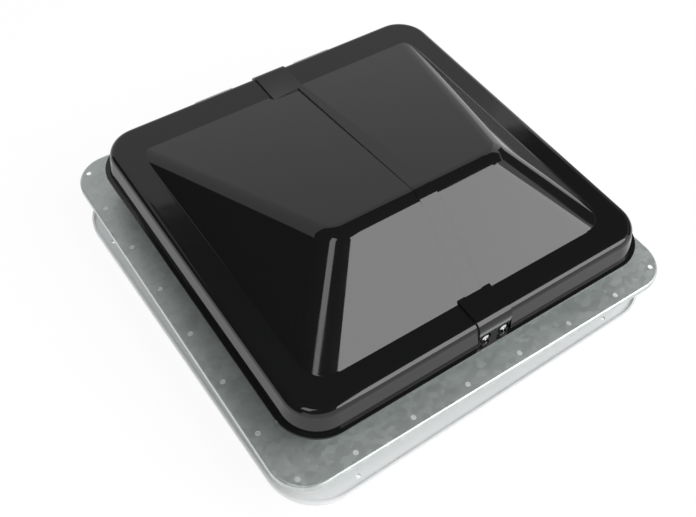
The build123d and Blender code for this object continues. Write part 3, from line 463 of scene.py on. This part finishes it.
# The lid's sizes: its box in the frame, and what stands in from it
touching = 0.0001
lid_low, lid_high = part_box("lid_shell")
lip_out = 0.0075
lip_thick = 0.0025
skirt_half = (lid_high[0] - lid_low[0]) / 2 - lip_out
skirt_corner_r = 0.034
skirt_foot_z = lid_low[2] + lip_thick
skirt_draft = 0.0036
lid_centre_y = (lid_low[1] + lid_high[1]) / 2
lid_edge_round = 0.0005


def draft_skirt(form):
    """Leans the skirt's front and sides outwards to its foot. The hinge side stays upright."""
    straight = skirt_half - skirt_corner_r
    for vert in form.verts:
        place = Vector((vert.co.x, vert.co.y - lid_centre_y))
        nearest = Vector([max(-straight, min(straight, value)) for value in place])
        outwards = place - nearest
        on_skirt = abs(outwards.length - skirt_corner_r) < touching
        if on_skirt and abs(vert.co.z - skirt_foot_z) < touching:
            lean = outwards.normalized() * skirt_draft
            vert.co.x += lean.x
            vert.co.y += min(lean.y, 0)


dome_foot_z = 0.0558
dome_high = 0.062
dome_back_in = 0.038
dome_front_in = 0.0295
dome_back_y = lid_centre_y + skirt_half - dome_back_in
dome_front_y = lid_centre_y - skirt_half + dome_front_in
dome_front_long = 0.081
dome_back_long = dome_back_y - dome_front_y - dome_front_long
rib_middle_x = 0.0045
rib_reach = 0.019
rib_rise = 0.0006
rib_more_rise = 0.0014
rib_most = 0.0012
ridge_over = 0.019


def raise_rib(form):
    """Lifts the rib's hinge end to the level of the band that it runs into."""
    for vert in form.verts:
        slope_z = dome_foot_z + (dome_back_y - vert.co.y) * dome_high / dome_back_long
        on_top = abs(vert.co.z - slope_z - rib_rise) < touching
        in_reach = abs(vert.co.x - rib_middle_x) < rib_reach
        if on_top and in_reach and vert.co.y > 0:
            vert.co.z += rib_more_rise


def sink_front_rib(form):
    """Lets the rib fade out over the ridge, so that the front face stays plain."""
    front_foot = Vector((0, dome_front_y, dome_foot_z))
    front_face_out = Vector((0, -dome_high, dome_front_long)).normalized()
    past_ridge_y = dome_front_y + dome_front_long + ridge_over
    for vert in form.verts:
        if abs(vert.co.x - rib_middle_x) > rib_reach or vert.co.y > past_ridge_y:
            continue
        rise = (vert.co - front_foot) @ front_face_out
        if touching < rise < rib_most and vert.co.z > dome_foot_z + touching:
            vert.co -= front_face_out * rise


def shape_lid(form):
    """The lid's draft and rib."""
    draft_skirt(form)
    raise_rib(form)
    sink_front_rib(form)


skinned("lid_shell", lid_edge_round, shape_lid)

edge_rounds = {
    "roof_base": 0.0,
    "trim_ring": 0.0005,
    "lid_strap": 0.0002,
    "lid_hinge_leaves": 0.0002,
    "foot_hinge_leaves": 0.0002,
    "lift_guide": 0.0002,
    "crossbar": 0.0003,
    "operator_body": 0.0004,
    "lift_arm": 0.0002,
    "crank_handle": 0.0006,
    "crank_knob": 0.0003,
    "slide_shoe": 0.0002,
    "screen_frame": 0.0003,
    "screen_clips": 0.0002,
    "shaft_grommet": 0.0004,
    "collar_gasket": 0.0008,
    "lid_rear_rivets": 0.0006,
    "lid_leaf_rivets": 0.0006,
    "foot_leaf_rivets": 0.0006,
    "guide_rivets": 0.0006,
    "clip_rivets": 0.0006,
    "hinge_pins": 0.0004,
    "arm_pivot_pin": 0.0005,
    "arm_tip_pin": 0.0004,
    "knob_pin": 0.0004,
    "handle_set_screw": 0.0003,
    "shaft_clip": 0.0001,
    "shaft_bushings": 0.0002,
    "worm_shaft": 0.0,
}
for node_name, edge_round in edge_rounds.items():
    skinned(node_name, edge_round)


def separate_boxes(name):
    """Lowest and highest corner of each separate solid in a CAD node, in a fixed order."""
    form = bmesh.new()
    form.from_mesh(nodes[name].data)
    bmesh.ops.remove_doubles(form, verts=form.verts, dist=merge_gap)
    waiting = set(form.verts)
    boxes = []
    while waiting:
        newest = {waiting.pop()}
        group = list(newest)
        while newest:
            near = {edge.other_vert(vert) for vert in newest for edge in vert.link_edges}
            newest = near & waiting
            waiting -= newest
            group += newest
        low = Vector([min(vert.co[axis] for vert in group) for axis in range(3)])
        high = Vector([max(vert.co[axis] for vert in group) for axis in range(3)])
        boxes.append((low, high))
    form.free()
    return sorted(boxes, key=lambda box: tuple(box[0]))


recess_cells = 6
recess_long_share = 0.62
recess_wide_share = 0.2
recess_deep_share = 0.5
recess_floor_share = 0.8
dome_share = 0.45
round_sides = 32
shank_r = 0.002
shank_tip_share = 0.85
lid_head_high = 0.0024
small_head_high = 0.0018


def screw_head(form, head_r, head_high):
    """Domed head with a cross recess in an empty form, standing on z = 0 and facing up."""
    bmesh.ops.create_grid(form, x_segments=2 * recess_cells, y_segments=2 * recess_cells, size=head_r)
    for vert in form.verts:
        x, y = vert.co.x, vert.co.y
        reach = max(abs(x), abs(y))
        if reach > 0:
            vert.co.xy = vert.co.xy * (reach / Vector((x, y)).length)
        share = reach / head_r
        vert.co.z = head_high * (1 - dome_share * share ** 2)
    cross = []
    for face in form.faces:
        x, y = (abs(value) / head_r for value in face.calc_center_median().xy)
        if min(x, y) < recess_wide_share and max(x, y) < recess_long_share:
            cross.append(face)
    rim = [edge for edge in form.edges if edge.is_boundary]
    sunk = bmesh.ops.extrude_face_region(form, geom=cross)["geom"]
    floor = [item for item in sunk if isinstance(item, bmesh.types.BMVert)]
    bmesh.ops.delete(form, geom=cross, context="FACES")
    bmesh.ops.translate(form, verts=floor, vec=(0, 0, -recess_deep_share * head_high))
    bmesh.ops.scale(form, verts=floor, vec=(recess_floor_share, recess_floor_share, 1))
    skirt = bmesh.ops.extrude_edge_only(form, edges=rim)["geom"]
    for item in skirt:
        if isinstance(item, bmesh.types.BMVert):
            item.co.z = 0
    foot = [item for item in skirt if isinstance(item, bmesh.types.BMEdge) and item.is_boundary]
    bmesh.ops.holes_fill(form, edges=foot)


def screws(name, axis, head_high, side=None):
    """Stands for a node of screws along an axis. Without a side, their heads face the middle."""
    whole = bpy.data.meshes.new(name + "_heads")
    gathered = bmesh.new()
    for low, high in separate_boxes(name):
        form = bmesh.new()
        middle = (low + high) / 2
        across = (axis + 1) % 3
        head_r = (high[across] - low[across]) / 2
        screw_head(form, head_r, head_high)
        length = high[axis] - low[axis] - head_high
        shank = bmesh.ops.create_cone(form, cap_ends=True, segments=round_sides,
                                      radius1=shank_tip_share * shank_r, radius2=shank_r,
                                      depth=length)["verts"]
        bmesh.ops.translate(form, verts=shank, vec=(0, 0, -length / 2))
        facing = side or (-1 if middle[axis] > 0 else 1)
        direction = Vector([facing if index == axis else 0 for index in range(3)])
        seat = middle.copy()
        seat[axis] = (high[axis] if facing > 0 else low[axis]) - facing * head_high
        turn = direction.to_track_quat("Z", "Y").to_matrix().to_4x4()
        bmesh.ops.transform(form, matrix=Matrix.Translation(seat) @ turn, verts=form.verts)
        bmesh.ops.recalc_face_normals(form, faces=form.faces)
        part = bpy.data.meshes.new("screw")
        form.to_mesh(part)
        form.free()
        gathered.from_mesh(part)
        bpy.data.meshes.remove(part)
    gathered.to_mesh(whole)
    gathered.free()
    smooth(whole, crease_angle)
    finished(name + "_heads", whole, name)


screws("lid_front_screws", 1, lid_head_high, -1)
screws("operator_screws", 2, small_head_high, 1)
screws("crossbar_screws", 0, small_head_high)


net_pitch = 0.0018
net_yarn_r = 0.00018
net_yarn_sides = 4
net_crease_angle = radians(60)
grommet_grip = 0.001
quarter_turn = radians(90)
ring_turn = radians(1.1)


def insect_net():
    """Fine woven net: crossing yarns, one set just over the other, cut round the grommet."""
    low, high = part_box("screen_mesh")
    grommet_low, grommet_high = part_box("shaft_grommet")
    centre = Vector([(a + b) / 2 for a, b in zip(low, high)])
    hub = Vector([(a + b) / 2 for a, b in zip(grommet_low, grommet_high)])
    hub_r = (grommet_high[0] - grommet_low[0]) / 2 - grommet_grip
    half = (high[0] - low[0]) / 2 / (cos(ring_turn) + sin(ring_turn)) - net_yarn_r
    turned_hub = Matrix.Rotation(-ring_turn, 3, "Z") @ (hub - centre)
    count = int(half / net_pitch)
    form = bmesh.new()
    for way in (0, 1):
        level = net_yarn_r * (0.5 - way)
        for index in range(-count, count + 1):
            across = index * net_pitch
            off = across - turned_hub[1 - way]
            ends = [(-half, half)]
            if abs(off) < hub_r:
                gap = (hub_r ** 2 - off ** 2) ** 0.5
                ends = [(-half, turned_hub[way] - gap), (turned_hub[way] + gap, half)]
            for start, end in ends:
                yarn = bmesh.ops.create_cone(form, cap_ends=True, segments=net_yarn_sides,
                                             radius1=net_yarn_r, radius2=net_yarn_r,
                                             depth=end - start)["verts"]
                axis = "Y" if way == 0 else "X"
                bmesh.ops.rotate(form, verts=yarn, matrix=Matrix.Rotation(quarter_turn, 3, axis))
                place = [0, 0, level]
                place[way] = (start + end) / 2
                place[1 - way] = across
                bmesh.ops.translate(form, verts=yarn, vec=place)
    matrix = Matrix.Translation(centre) @ Matrix.Rotation(ring_turn, 4, "Z")
    bmesh.ops.transform(form, matrix=matrix, verts=form.verts)
    mesh = bpy.data.meshes.new("insect_net")
    form.to_mesh(mesh)
    form.free()
    smooth(mesh, net_crease_angle)
    finished("insect_net", mesh, "screen_mesh")


insect_net()


# Stage

floor_drop = 0.0004
floor_half = 4.0
floor_level = 0.9
floor_glow_share = 0.9
white_level = 1.0
fill_level = 0.72
studio_half = 2.6

# Cloths: where each hangs, and how much of what is behind it each hides
cloth_level = 0.02
cloth_high = 1.55
lamp_gap_right_x = 0.4
lamp_gap_back_y = -0.6
ceiling_right_y = 0.72
ceiling_back_x = 0.28
ceiling_back_y = 1.36
right_cloth_x = 2.3
side_cloth_front_y = -0.9
right_cloth_back_y = 1.0
right_cloth_high = 1.2
left_cloth_x = -1.7
left_cloth_low = 0.1
scrim_right_x = 3.4
scrim_high = 3.4
scrim_cover = 0.38

# Lamps: place, aim, width, height and watts
front_lamp = ((1.12, -1.45, 1.75), (0.0, -0.1, 0.06), 1.9, 1.6, 42)
strip_lamp = ((-0.62, -0.34, 1.45), (-0.14, -0.12, 0.08), 0.34, 0.8, 2.7)
lens_near = 0.05


def seen_directly(finish):
    """1 for rays that should meet a white studio: the camera's, and those in gloss and glass."""
    path = finish.node("ShaderNodeLightPath")
    seen = [Value(finish, path.outputs[ray])
            for ray in ("Is Camera Ray", "Is Glossy Ray", "Is Transmission Ray")]
    return finish.between(seen[0] + seen[1] + seen[2], 0.0, 1.0, smooth=False)


def stage_floor():
    """Pale floor that is white to the camera and keeps the object's shadow."""
    form = bmesh.new()
    bmesh.ops.create_grid(form, x_segments=1, y_segments=1, size=floor_half)
    bmesh.ops.translate(form, verts=form.verts, vec=(0, 0, cad_bounds[0][2] - floor_drop))
    mesh = bpy.data.meshes.new("floor")
    form.to_mesh(mesh)
    form.free()
    floor = bpy.data.objects.new("floor", mesh)
    bpy.context.scene.collection.objects.link(floor)
    paint = Finish("floor_paint")
    diffuse = paint.node("ShaderNodeBsdfDiffuse", {}, {"Color": grey(floor_level)})
    glow = paint.node("ShaderNodeEmission", {}, {"Color": grey(1.0), "Strength": white_level})
    share = floor_glow_share * seen_directly(paint)
    blend = paint.node("ShaderNodeMixShader", {}, {0: share, 1: diffuse.outputs[0], 2: glow.outputs[0]})
    paint.node("ShaderNodeOutputMaterial", {}, {"Surface": blend.outputs[0]})
    mesh.materials.append(paint.material)


def studio_world():
    """White to the camera and in gloss. Its even light on the object is softer."""
    world = bpy.data.worlds.new("studio")
    bpy.context.scene.world = world
    world.use_nodes = True
    room = Finish("studio", world.node_tree)
    strength = room.between(seen_directly(room), 0.0, 1.0, fill_level, white_level, smooth=False)
    background = room.node("ShaderNodeBackground", {}, {"Color": grey(1.0), "Strength": strength})
    room.node("ShaderNodeOutputWorld", {}, {"Surface": background.outputs[0]})


def hanging(start, end, low, high):
    """Corners of an upright sheet over a line on the ground."""
    return [(*start, low), (*end, low), (*end, high), (*start, high)]


def dark_cloth(name, corners, cover=1.0):
    """Black cloth in the studio, met by reflections alone. Its cover is how much it hides."""
    form = bmesh.new()
    form.faces.new([form.verts.new(corner) for corner in corners])
    mesh = bpy.data.meshes.new(name)
    form.to_mesh(mesh)
    form.free()
    cloth = bpy.data.objects.new(name, mesh)
    bpy.context.scene.collection.objects.link(cloth)
    cloth.visible_camera = False
    cloth.visible_diffuse = False
    cloth.visible_shadow = False
    cloth.visible_transmission = False
    dye = Finish(name)
    black = dye.node("ShaderNodeEmission", {}, {"Color": grey(1.0), "Strength": cloth_level})
    clear = dye.node("ShaderNodeBsdfTransparent")
    weave = dye.node("ShaderNodeMixShader", {}, {0: cover, 1: clear.outputs[0], 2: black.outputs[0]})
    dye.node("ShaderNodeOutputMaterial", {}, {"Surface": weave.outputs[0]})
    mesh.materials.append(dye.material)


def softbox(name, place, aim, wide, high, power):
    """Rectangular soft light, aimed at a point."""
    lamp = bpy.data.lights.new(name, "AREA")
    lamp.shape = "RECTANGLE"
    lamp.size = wide
    lamp.size_y = high
    lamp.energy = power
    holder = bpy.data.objects.new(name, lamp)
    holder.location = place
    holder.rotation_euler = (Vector(aim) - Vector(place)).to_track_quat("-Z", "Y").to_euler()
    bpy.context.scene.collection.objects.link(holder)


def photo_camera():
    """Camera at the photograph's angle."""
    away = Vector((sin(camera_azimuth) * cos(camera_elevation),
                   -cos(camera_azimuth) * cos(camera_elevation), sin(camera_elevation)))
    right = Vector((0, 0, 1)).cross(away).normalized()
    up = away.cross(right)
    rolled_right = right * cos(camera_roll) + up * sin(camera_roll)
    rolled_up = up * cos(camera_roll) - right * sin(camera_roll)
    lens = bpy.data.cameras.new("photo_camera")
    lens.sensor_fit = "HORIZONTAL"
    lens.sensor_width = sensor_wide
    lens.lens = focal_px / photo_size[0] * sensor_wide
    lens.clip_start = lens_near
    holder = bpy.data.objects.new("photo_camera", lens)
    holder.matrix_world = Matrix.LocRotScale(
        camera_target + away * camera_distance,
        Matrix((rolled_right, rolled_up, away)).transposed(), None)
    bpy.context.scene.collection.objects.link(holder)
    bpy.context.scene.camera = holder


stage_floor()
studio_world()
dark_cloth("ceiling_cloth", [(x, y, cloth_high) for x, y in (
    (-studio_half, -studio_half), (lamp_gap_right_x, -studio_half), (lamp_gap_right_x, lamp_gap_back_y),
    (studio_half, lamp_gap_back_y), (studio_half, ceiling_right_y), (ceiling_back_x, ceiling_back_y),
    (-studio_half, ceiling_back_y),
)])
dark_cloth("right_cloth", hanging(
    (right_cloth_x, side_cloth_front_y), (right_cloth_x, right_cloth_back_y), 0.0, right_cloth_high))
dark_cloth("left_cloth", hanging(
    (left_cloth_x, side_cloth_front_y), (left_cloth_x, studio_half), left_cloth_low, cloth_high))
dark_cloth("back_scrim", hanging(
    (-studio_half, studio_half), (scrim_right_x, studio_half), 0.0, scrim_high), scrim_cover)
softbox("front_box", *front_lamp)
softbox("strip_light", *strip_lamp)
photo_camera()
bpy.context.scene.view_settings.view_transform = "Standard"
